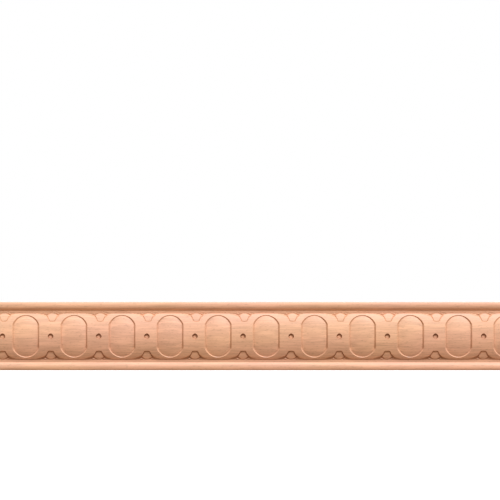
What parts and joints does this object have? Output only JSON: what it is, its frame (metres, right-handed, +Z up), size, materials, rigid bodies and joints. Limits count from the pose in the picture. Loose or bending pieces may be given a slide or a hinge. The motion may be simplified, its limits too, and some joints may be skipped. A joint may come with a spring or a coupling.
{
  "type": "carved wooden moulding strip",
  "caption": "Straight carved beech moulding: a convex band of ovals in linked rings, with dimples and small tongues between them, framed by flat fillets and rounded beads.",
  "frame": {"origin": "centre of the flat back face, where the strip is fixed to a wall, door or piece of furniture", "axes": "+X along the strip, +Y out of its back, +Z up across its width, so the carved face looks towards -Y"},
  "size_m": [0.473, 0.012, 0.061],
  "materials": {
    "beech": "carved, planed and sanded, left unfinished"
  },
  "bodies": {
    "root": {"moulding_strip": "beech"}
  },
  "joints": []
}
